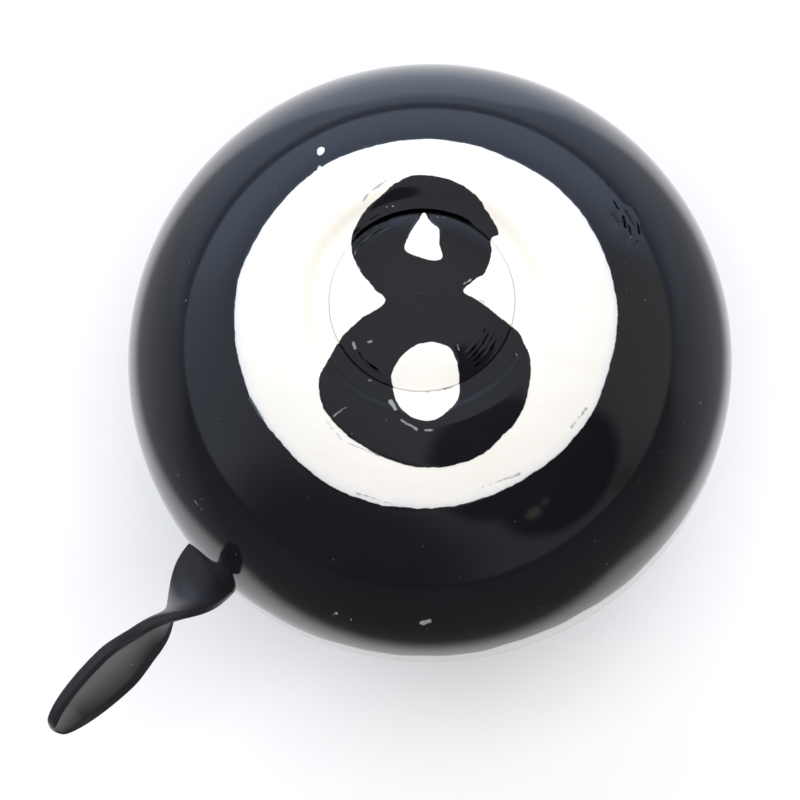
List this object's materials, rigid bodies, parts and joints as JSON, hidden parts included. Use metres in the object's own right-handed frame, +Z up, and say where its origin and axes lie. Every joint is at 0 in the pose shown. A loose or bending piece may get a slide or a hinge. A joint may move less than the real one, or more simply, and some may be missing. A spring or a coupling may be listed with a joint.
{
  "type": "bicycle bell",
  "caption": "Large domed bicycle bell, painted like a numbered pool ball, with a twisted thumb lever, a geared rotary striker inside and a split handlebar clamp.",
  "frame": {"origin": "centre of the handlebar bore, on the bell axis", "axes": "+Z up the bell axis to the crown; the handlebar runs along X; the thumb lever leaves towards -X and -Y"},
  "size_m": [0.0907, 0.0886, 0.0721],
  "materials": {
    "enamel": "glossy black brushed enamel over chrome plate, with a white disc and a black numeral",
    "steel": "plain steel, lightly brushed",
    "zinc": "zinc plated steel, satin",
    "brass": "turned and hobbed brass",
    "nylon": "natural nylon",
    "pressed_steel": "chrome plated pressed steel",
    "clamp_metal": "chrome plated, slightly dull",
    "rubber": "black rubber",
    "spring_steel": "spring wire"
  },
  "bodies": {
    "base": {"gong": "enamel", "crown_cap": "enamel", "gong_washer": "nylon", "gong_spacer": "zinc", "centre_post": "zinc", "striker_lug_a": "steel", "striker_lug_b": "steel", "rotor_sleeve": "brass", "idler_axle": "steel", "lever_bush": "brass", "lever_pivot_rivet": "steel", "spring_anchor_pin": "steel", "base_cup": "pressed_steel", "clamp_saddle": "clamp_metal", "clamp_strap": "clamp_metal", "clamp_liner": "rubber", "saddle_rivet_a": "steel", "saddle_rivet_b": "steel", "clamp_screw_a": "zinc", "clamp_washer_a": "zinc", "clamp_nut_a": "zinc", "clamp_screw_b": "zinc", "clamp_washer_b": "zinc", "clamp_nut_b": "zinc"},
    "lever": {"thumb_lever": "enamel", "return_spring": "spring_steel"},
    "idler": {"idler_pinion": "brass", "idler_wheel": "nylon"},
    "rotor": {"rotor_pinion": "brass", "rotor_arm": "steel", "striker_pin_a": "steel", "striker_pin_b": "steel"},
    "striker_a": {"striker_a": "zinc"},
    "striker_b": {"striker_b": "zinc"}
  },
  "joints": [
    {"name": "lever_pivot", "type": "hinge", "parent": "base", "child": "lever", "pos_m": [-0.01726, -0.01667, 0.0197], "axis": [0, 0, 1], "range_deg": [-28, 0], "stiffness_Nm_per_rad": 0.05, "springref_deg": 20.05, "deforming": ["return_spring"]},
    {"name": "idler_spin", "type": "hinge", "parent": "base", "child": "idler", "pos_m": [-0.01647, 0.00331, 0.0197], "axis": [0, 0, 1], "range_deg": [0, 112]},
    {"name": "rotor_spin", "type": "hinge", "parent": "base", "child": "rotor", "pos_m": [0, 0, 0.0235], "axis": [0, 0, 1], "range_deg": [-280, 0]},
    {"name": "striker_a_slide", "type": "slide", "parent": "rotor", "child": "striker_a", "axis": [-0.342, 0.9397, 0], "range_m": [-0.0012, 0.0012]},
    {"name": "striker_b_slide", "type": "slide", "parent": "rotor", "child": "striker_b", "axis": [0.342, -0.9397, 0], "range_m": [-0.0012, 0.0012]}
  ],
  "couplings": [
    {"joint": "lever_pivot", "follows": "rotor_spin", "ratio": 0.1},
    {"joint": "idler_spin", "follows": "rotor_spin", "ratio": -0.4}
  ]
}
